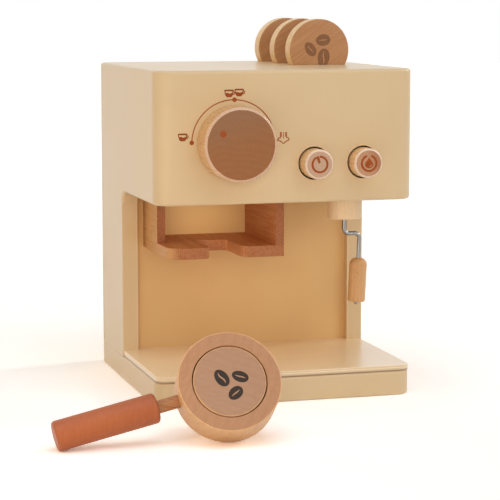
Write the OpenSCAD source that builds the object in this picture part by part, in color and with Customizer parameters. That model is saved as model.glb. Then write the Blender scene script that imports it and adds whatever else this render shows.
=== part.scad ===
// Wooden toy coffee maker: a painted housing with a turning dial, two sprung buttons,
// a swivelling steam wand, a bracket for the filter holder, three bean coins in slots
// on top, and the filter holder itself, which leans on the table in front.
// X runs to the right, -Y to the front, and Z up from the table. The origin is the
// centre of the base on the table.

/* [Body] */
// Width of the body
body_w = 200; // [182:1:230]
// Depth of the body, front to back
body_d = 203; // [198:1:230]
// Height of the body
body_h = 248.5; // [240:0.5:290]
// Height of the head, the box that hangs over the tray
head_h = 98.5; // [94:0.5:104]
// Depth of the two columns that carry the head
column_d = 85; // [76:1:90]
// Thickness of the side and front boards
board = 12.5; // [12.5:0.5:15]
// Thickness of the top board
top_t = 18; // [16:0.5:24]
// Radius of the upright corners at the front
front_r = 12.5; // [6:0.5:12.5]
// Radius of the upright corners at the back
rear_r = 10; // [4:0.5:12]
// Softening of the painted edges
edge_r = 2.5; // [1:0.25:4]
// Radius of the inside corner between a column and the head
fillet_r = 10; // [6:0.5:14]
// How far the back of the cup space lies behind the columns' fronts
cavity_set = 8; // [4:0.5:12]
// Thickness of the board behind the cup space
cavity_t = 6; // [4:0.5:9]
// Thickness of the rear board
rear_t = 8; // [5:0.5:9]
// Thickness of the board under the head
floor_t = 9; // [6:0.5:12]

/* [Base and tray] */
// Height of the base block
base_h = 18.3; // [15:0.1:24]
// Softening of the base block's edges
base_edge_r = 1.5; // [0.5:0.1:3]
// Thickness of the plywood tray
tray_t = 4.8; // [3:0.1:8]
// How far the tray stays back from the base block's edge
tray_inset = 0.6; // [0.5:0.1:3]
// Radius of the tray's front corners
tray_corner_r = 9; // [6:0.5:24]
// Softening of the tray's upper edge
tray_edge_r = 0.8; // [0.5:0.1:1.6]

/* [Dial] */
// Diameter of the dial knob
dial_d = 55; // [44:1:60]
// Depth of the dial knob
dial_t = 21.5; // [14:0.5:26]
// Rounding of the dial knob's front edge
dial_edge_r = 2.2; // [0.5:0.1:4]
// Distance of the dial's centre from the left side
dial_x = 58.4; // [52:0.1:66]
// Height of the dial's centre over the head's underside
dial_rise = 45.5; // [40:0.1:52]
// Diameter of the dial's dowel
dial_shaft_d = 10; // [8:0.5:14]
// Diameter of the ring that holds the dial in from behind
dial_collar_d = 22; // [18:0.5:28]
// Thickness of that ring
dial_collar_t = 8; // [5:0.5:12]

/* [Buttons] */
// Diameter of a button
button_d = 22.3; // [18:0.1:23]
// Diameter of the holes in the front board
button_hole_d = 24.4; // [23.8:0.1:26]
// How far a button stands out
button_out = 13; // [10:0.5:18]
// Rounding of a button's front edge
button_edge_r = 1.8; // [0.5:0.1:3]
// Diameter of the flange that keeps a button in
flange_d = 29; // [27:0.5:31]
// Thickness of that flange
flange_t = 3; // [2:0.5:5]
// Diameter of a button's guide stem
stem_d = 8; // [6:0.5:10]
// Distance of the power button from the right side
power_in = 79.3; // [76:0.1:82]
// Distance of the water button from the right side
water_in = 41; // [38:0.1:44]
// Height of the buttons over the head's underside
button_rise = 29.3; // [27:0.1:34]
// Room for the spring behind a button's flange
spring_room = 18; // [16:0.5:22]
// Outside diameter of a button's spring
spring_d = 13.5; // [12:0.5:16]
// Wire diameter of a spring
spring_wire = 1; // [0.6:0.1:1.4]
// Turns of a spring
spring_turns = 6; // [4:1:8]
// Thickness of the board that guides the stems
guide_t = 6; // [5:0.5:9]
// Height of the board that guides the stems
guide_h = 34; // [32:0.5:40]

/* [Bean coins] */
// Diameter of a coin
coin_d = 48.7; // [44:0.1:49.3]
// Thickness of a coin
coin_t = 13.2; // [10:0.1:14]
// How deep a coin stands in its slot
coin_sink = 12.7; // [8:0.1:13.5]
// Rounding of a coin's edges
coin_edge_r = 0.8; // [0.3:0.1:2]
// Distance of the coins' centre from the right side
coin_in = 45.2; // [40:0.1:55]
// Distance of the first coin's face from the front
coin_first = 93.4; // [80:0.1:96]
// Distance from one coin to the next
coin_pitch = 43.3; // [30:0.1:44]

/* [Bracket] */
// Width inside the bracket
bracket_in = 77.5; // [76:0.5:82]
// Thickness of the bracket's walls
bracket_t = 6.5; // [5:0.5:8]
// Height inside the bracket
bracket_room = 36.5; // [34:0.5:44]
// Thickness of the shelf
shelf_t = 8.5; // [6:0.5:12]
// How deep the walls are let into the shelf
wall_set = 1; // [0.5:0.1:2]
// Distance of the shelf's middle from the left side
bracket_x = 64.2; // [62:0.1:70]
// Distance of the shelf's front from the machine's front
shelf_front = 39.5; // [34:0.5:48]
// How far the left wall stays back from the shelf's front
left_wall_set = 38.5; // [30:0.5:44]
// Radius of the shelf's front left corner
shelf_corner_r = 12; // [4:0.5:24]
// Width of the notch for the spout
notch_w = 25; // [24:0.5:30]
// Depth of that notch
notch_deep = 46; // [38:0.5:52]
// Radius of the notch's inside corners
notch_in_r = 5; // [2:0.5:8]
// Radius of the notch's mouth
notch_mouth_r = 7; // [2:0.5:10]

/* [Steam wand] */
// Diameter of the wooden boss under the head
boss_d = 26; // [22:0.1:30]
// Height of that boss
boss_h = 18; // [14:0.5:24]
// Rounding of the boss's lower edge
boss_edge_r = 1; // [0.4:0.1:3]
// Distance of the wand's axis from the right side
wand_in = 40.2; // [36:0.1:50]
// Distance of the wand's axis from the front
wand_y = 45; // [34:0.5:60]
// Diameter of the steel rod
rod_d = 3.4; // [2.5:0.1:5]
// Bend radius of the rod, at its middle
rod_bend_r = 4.2; // [3.5:0.1:5]
// How far the rod is cranked sideways
rod_crank = 12.6; // [11:0.1:16]
// Drop from the boss to the crank
rod_drop = 12; // [8:0.5:20]
// Lean of the lower rod, in degrees
rod_lean = 2.7; // [0:0.1:6]
// Length of bare rod between the crank's bend and the grip
rod_bare = 15; // [8:0.5:24]
// Diameter of the grip
grip_d = 13.6; // [10:0.1:18]
// Rounding of the grip's lower end
grip_low_r = 1.6; // [0.5:0.1:3]
// Length of the grip
grip_l = 34.2; // [26:0.1:44]
// Rounding of the grip's top
grip_top_r = 5; // [2:0.5:5]
// How far the rod's tip stands out below the grip
rod_tip = 2.2; // [1:0.1:6]
// Diameter of the ring that hangs the rod on the head's floor
rod_collar_d = 9; // [7:0.5:14]
// Height of that ring
rod_collar_h = 5; // [3:0.5:8]

/* [Filter holder] */
// Diameter of the basket
basket_d = 71.5; // [68:0.5:74]
// Height of the basket
basket_h = 25; // [22:0.5:30]
// Rounding of the basket's edges
basket_edge_r = 1; // [0.5:0.1:2]
// Diameter of the coin in the basket
filter_coin_d = 50.3; // [46:0.1:52]
// Gap round that coin
pocket_gap = 0.8; // [0.4:0.05:1.2]
// Diameter of the spout under the basket
spout_d = 22; // [18:0.5:23]
// Length of that spout
spout_l = 41.5; // [34:0.5:46]
// Diameter of the handle's neck
neck_d = 9; // [7:0.5:12]
// Bare length of the neck
neck_l = 15.5; // [8:0.5:24]
// How deep the neck sits in the basket, and in the handle
neck_socket = 8; // [5:0.5:9]
// Diameter of the handle
handle_d = 21; // [17:0.5:24]
// Length of the handle
handle_l = 72; // [60:0.5:90]
// Rounding of the handle's ends
handle_edge_r = 2.4; // [1:0.1:4]
// How far right of the machine's middle the basket's underside has its centre
filter_x = -74.5; // [-100:0.1:60]
// How far in front of the machine the basket's underside has its centre
filter_front = 97.5; // [80:0.5:140]
// How far the basket's face is turned to the left, in degrees
filter_turn = 7.5; // [0:0.5:30]

/* [Screws] */
// Diameter of a screw's shank
screw_d = 4; // [3:0.1:5]
// Diameter of a screw's head
screw_head_d = 8; // [6:0.1:9]
// Height of a screw's tapered head
screw_head_h = 2.4; // [1.5:0.1:3]
// How far the base screws reach into the columns
base_screw_grip = 22; // [15:1:35]
// How far the bracket screws reach into its walls
bracket_screw_grip = 16; // [10:1:22]

/* [Clearances] */
// Radial gap of what turns or slides in a bore
run_gap = 0.08; // [0.03:0.01:0.1]
// Gap between glued pieces, and round a screw
glue_gap = 0.05; // [0.02:0.01:0.1]
// Gap between a moving piece and its seat
seat_gap = 0.3; // [0.2:0.05:0.4]
// Gap round a coin that stands in a slot, on its faces
slot_gap = 0.4; // [0.3:0.05:0.8]

/* [Hidden] */
$fn = 64;

half_w = body_w / 2;
front_y = -body_d / 2;
back_y = body_d / 2;
head_z = body_h - head_h;
top_z = body_h - top_t;
inner_w = body_w - 2 * board;
column_y = back_y - column_d;
cavity_y = column_y + cavity_set;
tray_z = base_h + tray_t;
panel_back_y = front_y + board;
inside_floor_z = head_z + floor_t;
front_corner = min(front_r, board);
rear_corner = min(rear_r, board);
fillet_reach = fillet_r * (sqrt(2) - 1) + 1;

dial_pos = [-half_w + dial_x, front_y, head_z + dial_rise];
dial_shaft_in = dial_t - 6;
power_pos = [half_w - power_in, front_y, head_z + button_rise];
water_pos = [half_w - water_in, front_y, head_z + button_rise];
flange_back = board + seat_gap + flange_t;
guide_y = front_y + flange_back + spring_room;
guide_margin = 4;
// How far a stem stands out behind its guide
stem_over = 3;

coin_r = coin_d / 2;
coin_pos_x = half_w - coin_in;
coin_pos_z = body_h - coin_sink + coin_r;
function coin_y(i) = front_y + coin_first + i * coin_pitch;

bracket_mid = -half_w + bracket_x;
bracket_half = bracket_in / 2 + bracket_t;
shelf_y = front_y + shelf_front;
shelf_top_z = head_z - bracket_room;
left_wall_y = shelf_y + left_wall_set;

wand_pos = [half_w - wand_in, front_y + wand_y];
crank_z = head_z - boss_h - rod_drop;
rod_top_z = inside_floor_z + seat_gap + rod_collar_h + 1;
// The straight leg starts a little inside the bend above it, and is finer by a hair
leg_lap = 0.3;
leg_ease = 0.02;

base_screw_inset = 21;
base_screw_ys = [column_y + base_screw_inset, back_y - base_screw_inset];
bracket_screw_inset = 10;
bracket_screw_ys = [left_wall_y + bracket_screw_inset, cavity_y - bracket_screw_inset];
screw_sink = 0.5;
// Softening of edges that hardly show
trim_r = 0.6;

// The filter holder rests on three points: the rim of its basket, the rim of its spout
// and the end of its handle. Its tilt, height and roll follow from those sizes.
basket_r = basket_d / 2;
filter_tilt = atan((basket_d - spout_d) / 2 / spout_l);
filter_z = (basket_r - basket_edge_r) * cos(filter_tilt)
    + basket_edge_r * (1 - sin(filter_tilt));
handle_from = basket_r + neck_l;
handle_reach = handle_from + handle_l - handle_edge_r;
handle_round = handle_d / 2 - handle_edge_r;
handle_axis_z = filter_z + basket_h / 2 * sin(filter_tilt) - handle_edge_r;
handle_slope = asin(handle_axis_z / norm([handle_reach, handle_round]))
    - atan(handle_round / handle_reach);
handle_roll = asin(sin(handle_slope) / cos(filter_tilt));
filter_y = front_y - filter_front;

cream = "#E9D3AE";
ply = "#EAD6B6";
pale_beech = "#DDBB90";
brown_beech = "#A9683F";
stained_beech = "#B07F55";
terracotta = "#B9643C";
chrome = "#C9CCD0";
steel = "#9EA2A6";

// ---- Shapes that repeat ----

// What a rounding of radius r takes off a corner, with the corner at [r, r]
module corner_cut(r) {
    difference() {
        square(r + 1);
        circle(r);
    }
}

// Half of a slab's outline, from its middle to its edge, with the edge rounded
module edge_profile(reach, h, top_r, low_r) {
    difference() {
        square([reach, h]);
        if (top_r > 0) translate([reach - top_r, h - top_r]) corner_cut(top_r);
        if (low_r > 0) translate([reach - low_r, low_r]) mirror([0, 1]) corner_cut(low_r);
    }
}

// One side of a slab: its long edge lies at x = w and its upright corners are rounded
module half_slab(w, y0, y1, h, front_r, back_r, top_r, low_r) {
    translate([0, y1 - back_r, 0]) rotate([90, 0, 0])
        linear_extrude(y1 - back_r - y0 - front_r) edge_profile(w, h, top_r, low_r);
    if (front_r > 0) {
        translate([w - front_r, y0 + front_r, 0]) rotate([0, 0, -90])
            rotate_extrude(angle = 90) edge_profile(front_r, h, top_r, low_r);
        if (w > front_r) translate([w - front_r, y0 + front_r, 0]) rotate([90, 0, -90])
            linear_extrude(w - front_r) edge_profile(front_r, h, top_r, low_r);
    }
    if (back_r > 0) {
        translate([w - back_r, y1 - back_r, 0])
            rotate_extrude(angle = 90) edge_profile(back_r, h, top_r, low_r);
        if (w > back_r) translate([0, y1 - back_r, 0]) rotate([90, 0, 90])
            linear_extrude(w - back_r) edge_profile(back_r, h, top_r, low_r);
    }
}

// A slab about the middle plane, with rounded corners and edges
module soft_slab(w, y0, y1, h, front_r, back_r, top_r, low_r) {
    half_slab(w / 2, y0, y1, h, front_r, back_r, top_r, low_r);
    mirror([1, 0, 0]) half_slab(w / 2, y0, y1, h, front_r, back_r, top_r, low_r);
}

// A turned piece that stands on z = 0, with its edges rounded
module turned(r, h, top_r, low_r) {
    rotate_extrude() edge_profile(r, h, top_r, low_r);
}

// A bore along z that runs a little past both ends of a piece h long
module bore(r, h) {
    translate([0, 0, -1]) cylinder(r = r, h = h + 2);
}

// A countersunk wood screw: its head's face is at z = 0 and its point is up
module wood_screw(l) {
    cylinder(r1 = screw_head_d / 2, r2 = screw_d / 2, h = screw_head_h);
    cylinder(r = screw_d / 2, h = l - screw_d / 2);
    translate([0, 0, l - screw_d / 2])
        cylinder(r1 = screw_d / 2, r2 = 0.4, h = screw_d / 2);
}

// The hole for such a screw, sunk below the face at z = 0
module screw_hole(l) {
    translate([0, 0, -1]) cylinder(r = screw_head_d / 2 + glue_gap, h = screw_sink + 1);
    translate([0, 0, screw_sink])
        cylinder(r1 = screw_head_d / 2 + glue_gap, r2 = screw_d / 2 + glue_gap,
            h = screw_head_h);
    cylinder(r = screw_d / 2 + glue_gap, h = screw_sink + l + 1);
}

// Puts something turned at a place on the front, with its axis towards the viewer
module on_front(pos) {
    translate(pos) rotate([90, 0, 0]) children();
}

// ---- Housing ----

module base_block() {
    color(cream) difference() {
        soft_slab(body_w, front_y, back_y, base_h, front_corner, rear_corner,
            base_edge_r, base_edge_r);
        base_screw_places() screw_hole(base_h + base_screw_grip);
    }
}

module base_screw_places() {
    for (side = [-1, 1], y = base_screw_ys) {
        translate([side * (half_w - board / 2), y, 0]) children();
    }
}

module tray_plate() {
    color(ply) {
        translate([0, 0, base_h]) soft_slab(body_w - 2 * tray_inset,
            front_y + tray_inset, column_y, tray_t, tray_corner_r, 0, tray_edge_r, trim_r);
        translate([-inner_w / 2, column_y - 1, base_h])
            cube([inner_w, cavity_set + 1, tray_t]);
    }
}

// The right side board, from its inside face at x = 0 to its outside face
module side_board() {
    difference() {
        union() {
            translate([0, 0, head_z]) half_slab(board, front_y, back_y,
                top_z - head_z, front_corner, rear_corner, 0, edge_r);
            translate([0, 0, base_h]) half_slab(board, column_y, back_y,
                head_z + edge_r - base_h, edge_r, rear_corner, 0, 0);
            inside_fillet();
        }
        for (y = base_screw_ys) {
            translate([board / 2, y, 0]) screw_hole(base_h + base_screw_grip);
        }
    }
}

// The hollow curve that carries a column's front edge into the head's underside
module inside_fillet() {
    translate([0, column_y - fillet_r, head_z - fillet_r]) rotate([90, 0, 90])
        rotate_extrude(angle = 90) difference() {
            translate([fillet_r, 0]) square([fillet_reach, board]);
            translate([fillet_r + edge_r, board - edge_r]) mirror([1, 0])
                corner_cut(edge_r);
        }
}

module right_side_panel() {
    color(cream) translate([inner_w / 2, 0, 0]) side_board();
}

module left_side_panel() {
    color(cream) mirror([1, 0, 0]) translate([inner_w / 2, 0, 0]) side_board();
}

module front_panel() {
    color(cream) difference() {
        translate([inner_w / 2, panel_back_y, head_z]) rotate([90, 0, -90])
            linear_extrude(inner_w) edge_profile(board, top_z - head_z, 0, edge_r);
        on_front(dial_pos) translate([0, 0, -board]) bore(dial_shaft_d / 2 + run_gap, board);
        for (pos = [power_pos, water_pos]) {
            on_front(pos) translate([0, 0, -board]) bore(button_hole_d / 2, board);
        }
    }
}

module top_panel() {
    color(cream) difference() {
        translate([0, 0, top_z]) soft_slab(body_w, front_y, back_y, top_t,
            front_corner, rear_corner, edge_r, 0);
        for (i = [0:2]) {
            translate([coin_pos_x, coin_y(i) - slot_gap, coin_pos_z]) rotate([-90, 0, 0])
                cylinder(r = coin_r + seat_gap, h = coin_t + 2 * slot_gap, $fn = 96);
        }
    }
}

module head_floor() {
    color(cream) difference() {
        translate([-inner_w / 2, panel_back_y, head_z])
            cube([inner_w, back_y - rear_t - panel_back_y, floor_t]);
        translate([wand_pos.x, wand_pos.y, head_z]) bore(rod_d / 2 + run_gap, floor_t);
        bracket_screw_places() screw_hole(floor_t + bracket_screw_grip);
    }
}

module cavity_back_panel() {
    color(cream) translate([-inner_w / 2, cavity_y, base_h])
        cube([inner_w, cavity_t, head_z - base_h]);
}

module rear_panel() {
    color(cream) translate([-inner_w / 2, back_y - rear_t, base_h])
        cube([inner_w, rear_t, top_z - base_h]);
}

module button_guide() {
    color(pale_beech) difference() {
        translate([power_pos.x - flange_d / 2 - guide_margin, guide_y, inside_floor_z])
            cube([power_in - water_in + flange_d + 2 * guide_margin, guide_t, guide_h]);
        for (pos = [power_pos, water_pos]) {
            on_front([pos.x, guide_y + guide_t, pos.z]) bore(stem_d / 2 + run_gap, guide_t);
        }
        translate([wand_pos.x, wand_pos.y, inside_floor_z])
            bore(rod_collar_d / 2 + 1, rod_top_z - inside_floor_z);
    }
}

module base_screws() {
    color(steel) base_screw_places() translate([0, 0, screw_sink])
        wood_screw(base_h + base_screw_grip - screw_sink);
}

// ---- Bracket for the filter holder ----

// Two screws go down into each wall, from inside the head
module bracket_screw_places() {
    for (side = [-1, 1], y = bracket_screw_ys) {
        translate([bracket_mid + side * (bracket_half - bracket_t / 2), y, inside_floor_z])
            mirror([0, 0, 1]) children();
    }
}

module bracket_screws() {
    color(steel) bracket_screw_places() translate([0, 0, screw_sink])
        wood_screw(floor_t + bracket_screw_grip - screw_sink);
}

module bracket_wall(side, wall_y) {
    difference() {
        translate([bracket_mid + side * (bracket_half - bracket_t / 2) - bracket_t / 2,
            wall_y, shelf_top_z - wall_set])
            cube([bracket_t, cavity_y - wall_y, bracket_room + wall_set]);
        bracket_screw_places() screw_hole(floor_t + bracket_screw_grip);
    }
}

module bracket_left_wall() {
    color(brown_beech) bracket_wall(-1, left_wall_y);
}

module bracket_right_wall() {
    color(brown_beech) bracket_wall(1, shelf_y);
}

module bracket_shelf() {
    color(brown_beech) difference() {
        translate([bracket_mid, shelf_y, shelf_top_z - shelf_t]) linear_extrude(shelf_t)
            shelf_outline();
        wall_rabbet(-1, left_wall_y);
        wall_rabbet(1, shelf_y);
    }
}

module shelf_outline() {
    difference() {
        translate([-bracket_half, 0]) square([2 * bracket_half, cavity_y - shelf_y]);
        translate([-bracket_half + shelf_corner_r, shelf_corner_r]) mirror([0, 1])
            mirror([1, 0]) corner_cut(shelf_corner_r);
        shelf_notch();
    }
}

// The step along the shelf's side that a wall stands in
module wall_rabbet(side, wall_y) {
    wide = bracket_t + glue_gap + 1;
    translate([bracket_mid + side * (bracket_half + 1 - wide / 2) - wide / 2,
        wall_y - glue_gap, shelf_top_z - wall_set])
        cube([wide, cavity_y - wall_y + glue_gap + 1, wall_set + 1]);
}

// The notch that the spout slides into: a rounded bottom and a rounded mouth
module shelf_notch() {
    difference() {
        translate([-notch_w / 2, -1]) square([notch_w, notch_deep + 1]);
        for (side = [0, 1]) mirror([side, 0])
            translate([notch_w / 2 - notch_in_r, notch_deep - notch_in_r])
            corner_cut(notch_in_r);
    }
    for (side = [0, 1]) mirror([side, 0]) difference() {
        translate([0, -1]) square([notch_w / 2 + notch_mouth_r, notch_mouth_r + 1]);
        translate([notch_w / 2 + notch_mouth_r, notch_mouth_r]) circle(notch_mouth_r);
        translate([notch_w / 2 + notch_mouth_r, -2]) square(notch_mouth_r + 3);
    }
}

// ---- Dial ----

module dial_knob() {
    color(pale_beech) on_front(dial_pos) translate([0, 0, seat_gap]) difference() {
        turned(dial_d / 2, dial_t, dial_edge_r, trim_r);
        translate([0, 0, -1]) cylinder(r = dial_shaft_d / 2 + glue_gap, h = dial_shaft_in + 1);
    }
}

module dial_shaft() {
    color(pale_beech) on_front(dial_pos)
        translate([0, 0, -board - seat_gap - dial_collar_t - 1])
        cylinder(r = dial_shaft_d / 2, h = dial_shaft_in + board + 2 * seat_gap + dial_collar_t + 1);
}

module dial_collar() {
    color(pale_beech) on_front(dial_pos)
        translate([0, 0, -board - seat_gap - dial_collar_t]) difference() {
            turned(dial_collar_d / 2, dial_collar_t, 0, trim_r);
            bore(dial_shaft_d / 2 + glue_gap, dial_collar_t);
        }
}

// ---- Buttons ----

// One turned piece: the cap, the flange behind the front board and the guide stem
module button(pos) {
    stem_l = spring_room + guide_t + stem_over;
    on_front(pos) {
        translate([0, 0, -board - seat_gap - flange_t / 2])
            turned(button_d / 2, board + seat_gap + flange_t / 2 + button_out, button_edge_r, 0);
        translate([0, 0, -flange_back]) turned(flange_d / 2, flange_t, trim_r, trim_r);
        translate([0, 0, -flange_back - stem_l]) turned(stem_d / 2, stem_l + 1, 0, trim_r);
    }
}

// A point of the spring's wire: s runs along the coil from 0 to 1, t round the wire
function spring_point(s, t, l) =
    let (across = spring_d / 2 - spring_wire / 2 + spring_wire / 2 * cos(t))
    [across * cos(s * spring_turns * 360), across * sin(s * spring_turns * 360),
        spring_wire / 2 * (1 + sin(t)) + s * (l - spring_wire)];

// A coil spring that stands on z = 0, round the z axis
module coil_spring(l) {
    sides = 6;
    rings = spring_turns * 8;
    points = [for (i = [0:rings], k = [0:sides - 1])
        spring_point(i / rings, k * 360 / sides, l)];
    skin = [for (i = [0:rings - 1], k = [0:sides - 1], flip = [0, 1])
        let (a = i * sides + k, b = i * sides + (k + 1) % sides)
        flip == 0 ? [a, a + sides, b] : [b, a + sides, b + sides]];
    caps = [for (k = [1:sides - 2], end = [0, 1])
        end == 0 ? [0, k, k + 1]
            : [rings * sides, rings * sides + k + 1, rings * sides + k]];
    polyhedron(points, concat(skin, caps), convexity = 10);
}

module button_spring(pos) {
    on_front(pos) translate([0, 0, -flange_back - spring_room + seat_gap])
        coil_spring(spring_room - 2 * seat_gap);
}

module power_button() {
    color(pale_beech) button(power_pos);
}

module water_button() {
    color(pale_beech) button(water_pos);
}

module power_spring() {
    color(steel) button_spring(power_pos);
}

module water_spring() {
    color(steel) button_spring(water_pos);
}

// ---- Steam wand ----

module wand_boss() {
    color(pale_beech) translate([wand_pos.x, wand_pos.y, head_z - boss_h]) difference() {
        turned(boss_d / 2, boss_h, 0, boss_edge_r);
        bore(rod_d / 2 + run_gap, boss_h);
    }
}

// A quarter bend of the rod in the XZ plane about its own centre, from angle a on
module rod_arc(a, sweep) {
    rotate([90, 0, 0]) rotate([0, 0, a]) rotate_extrude(angle = sweep)
        translate([rod_bend_r, 0]) circle(rod_d / 2);
}

// Goes to the upper end of the leaning leg, with z along it
module on_leg() {
    translate([wand_pos.x + rod_crank - rod_bend_r + rod_bend_r * cos(rod_lean),
        wand_pos.y, crank_z - rod_bend_r - rod_bend_r * sin(rod_lean)])
        rotate([0, 180 + rod_lean, 0]) children();
}

module wand_rod() {
    upright_z = crank_z + rod_bend_r;
    color(chrome) {
        translate([wand_pos.x, wand_pos.y, 0]) {
            translate([0, 0, upright_z]) cylinder(r = rod_d / 2, h = rod_top_z - upright_z);
            translate([rod_bend_r, 0, upright_z]) rod_arc(180, 90);
            translate([rod_bend_r, 0, crank_z]) rotate([0, 90, 0])
                cylinder(r = rod_d / 2, h = rod_crank - 2 * rod_bend_r);
            translate([rod_crank - rod_bend_r, 0, crank_z - rod_bend_r])
                rod_arc(-rod_lean, 90 + rod_lean);
        }
        on_leg() translate([0, 0, -leg_lap])
            turned(rod_d / 2 - leg_ease, leg_lap + rod_bare + grip_l + rod_tip, trim_r, 0);
    }
}

module wand_grip() {
    color(pale_beech) on_leg() translate([0, 0, rod_bare]) difference() {
        turned(grip_d / 2, grip_l, grip_low_r, grip_top_r);
        bore(rod_d / 2 + glue_gap, grip_l);
    }
}

module wand_collar() {
    color(steel) translate([wand_pos.x, wand_pos.y, inside_floor_z + seat_gap]) difference() {
        turned(rod_collar_d / 2, rod_collar_h, trim_r, 0);
        bore(rod_d / 2 + glue_gap, rod_collar_h);
    }
}

// ---- Bean coins ----

module coin(r = coin_r) {
    turned(r, coin_t, coin_edge_r, coin_edge_r);
}

module slot_coin(i) {
    color(stained_beech) translate([coin_pos_x, coin_y(i), coin_pos_z])
        rotate([-90, 0, 0]) coin();
}

module coin_front() {
    slot_coin(0);
}

module coin_middle() {
    slot_coin(1);
}

module coin_rear() {
    slot_coin(2);
}

// ---- Filter holder ----

// From the filter holder's own axes, z up through the basket and the handle along x,
// to where it leans on the table
module leaning() {
    translate([filter_x, filter_y, filter_z]) rotate([0, 0, -filter_turn])
        rotate([90 - filter_tilt, 0, 0]) rotate([0, 0, 180 + handle_roll]) children();
}

// Lays something turned along the handle's axis, from a distance out of the middle
module along_handle(from) {
    translate([from, 0, basket_h / 2]) rotate([0, 90, 0]) children();
}

module filter_basket() {
    color(pale_beech) leaning() difference() {
        turned(basket_r, basket_h, basket_edge_r, basket_edge_r);
        translate([0, 0, basket_h - coin_t - seat_gap])
            cylinder(r = filter_coin_d / 2 + pocket_gap, h = coin_t + seat_gap + 1);
        along_handle(basket_r - neck_socket)
            cylinder(r = neck_d / 2 + glue_gap, h = neck_socket + 1);
    }
}

module filter_spout() {
    color(pale_beech) leaning() translate([0, 0, -spout_l])
        turned(spout_d / 2, spout_l, 0, basket_edge_r);
}

module filter_neck() {
    color(pale_beech) leaning() along_handle(basket_r - neck_socket)
        cylinder(r = neck_d / 2, h = neck_l + 2 * neck_socket);
}

module filter_handle() {
    color(terracotta) leaning() along_handle(handle_from) difference() {
        turned(handle_d / 2, handle_l, handle_edge_r, handle_edge_r);
        translate([0, 0, -1]) cylinder(r = neck_d / 2 + glue_gap, h = neck_socket + 1);
    }
}

module filter_coin() {
    color(stained_beech) leaning() translate([0, 0, basket_h - coin_t])
        coin(filter_coin_d / 2);
}

base_block();
tray_plate();
left_side_panel();
right_side_panel();
front_panel();
top_panel();
head_floor();
cavity_back_panel();
rear_panel();
bracket_left_wall();
bracket_right_wall();
bracket_shelf();
button_guide();
wand_boss();
base_screws();
bracket_screws();
dial_knob();
dial_shaft();
dial_collar();
power_button();
power_spring();
water_button();
water_spring();
wand_rod();
wand_grip();
wand_collar();
coin_front();
coin_middle();
coin_rear();
filter_basket();
filter_spout();
filter_neck();
filter_handle();
filter_coin();
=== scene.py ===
from math import atan2, cos, hypot, pi, radians, sin

import bmesh
import bpy
from mathutils import Matrix, Vector


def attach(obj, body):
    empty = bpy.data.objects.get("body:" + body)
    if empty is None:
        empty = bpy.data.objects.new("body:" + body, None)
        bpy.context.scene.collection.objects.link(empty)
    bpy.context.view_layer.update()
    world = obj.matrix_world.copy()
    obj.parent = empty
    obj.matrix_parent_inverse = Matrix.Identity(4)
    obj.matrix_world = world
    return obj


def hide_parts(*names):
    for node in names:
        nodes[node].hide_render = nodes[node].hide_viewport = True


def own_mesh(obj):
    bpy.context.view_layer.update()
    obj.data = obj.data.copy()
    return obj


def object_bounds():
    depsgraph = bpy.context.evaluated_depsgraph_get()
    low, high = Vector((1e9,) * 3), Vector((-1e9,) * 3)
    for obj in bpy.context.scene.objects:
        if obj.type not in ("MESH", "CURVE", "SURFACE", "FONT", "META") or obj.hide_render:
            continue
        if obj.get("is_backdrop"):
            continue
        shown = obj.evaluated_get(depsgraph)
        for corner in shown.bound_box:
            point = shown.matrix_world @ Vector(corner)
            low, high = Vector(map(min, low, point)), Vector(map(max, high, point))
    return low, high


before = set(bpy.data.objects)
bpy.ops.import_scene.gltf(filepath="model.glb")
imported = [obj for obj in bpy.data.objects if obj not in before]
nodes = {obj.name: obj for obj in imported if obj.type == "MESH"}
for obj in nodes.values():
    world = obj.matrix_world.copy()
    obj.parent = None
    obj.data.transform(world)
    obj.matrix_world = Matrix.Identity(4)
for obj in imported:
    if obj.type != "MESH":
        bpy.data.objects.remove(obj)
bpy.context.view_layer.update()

# A wooden play coffee machine with its loose filter holder. X is to the right, -Y to the
# front and Z up from the table. Places and sizes in the dictionaries are in millimetres.

scene = bpy.context.scene
mm = 0.001


def metres(values):
    return Vector([value * mm for value in values])


def pick(piece):
    bpy.ops.object.select_all(action="DESELECT")
    piece.select_set(True)
    bpy.context.view_layer.objects.active = piece


def srgb(red, green, blue):
    channels = []
    for value in (red / 255, green / 255, blue / 255):
        channels.append(value / 12.92 if value < 0.0405 else ((value + 0.055) / 1.055) ** 2.4)
    return (*channels, 1.0)


# Sockets are given by name or number; what is a socket gets linked, and the rest is a value
def put(tree, kind, sockets=None, **settings):
    node = tree.nodes.new("ShaderNode" + kind)
    for name, value in settings.items():
        setattr(node, name, value)
    for name, value in (sockets or {}).items():
        if isinstance(value, bpy.types.NodeSocket):
            tree.links.new(value, node.inputs[name])
        else:
            node.inputs[name].default_value = value
    return node


def calc(tree, operation, *values):
    return put(tree, "Math", dict(enumerate(values)), operation=operation).outputs[0]


def stretched(tree, vector, factors):
    return put(tree, "VectorMath", {0: vector, 1: factors}, operation="MULTIPLY").outputs[0]


def noise(tree, vector, factors, detail):
    sockets = {"Vector": stretched(tree, vector, factors), "Scale": 1.0, "Detail": detail}
    return put(tree, "TexNoise", sockets).outputs["Fac"]


def remap(tree, value, low, high, toLow=0.0, toHigh=1.0):
    sockets = {"Value": value, "From Min": low, "From Max": high, "To Min": toLow,
               "To Max": toHigh}
    return put(tree, "MapRange", sockets, interpolation_type="SMOOTHSTEP").outputs["Result"]


def mixColors(tree, mask, first, second):
    node = tree.nodes.new("ShaderNodeMix")
    node.data_type = "RGBA"
    for index, value in ((0, mask), (6, first), (7, second)):
        if isinstance(value, bpy.types.NodeSocket):
            tree.links.new(value, node.inputs[index])
        else:
            node.inputs[index].default_value = value
    return node.outputs[2]


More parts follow.
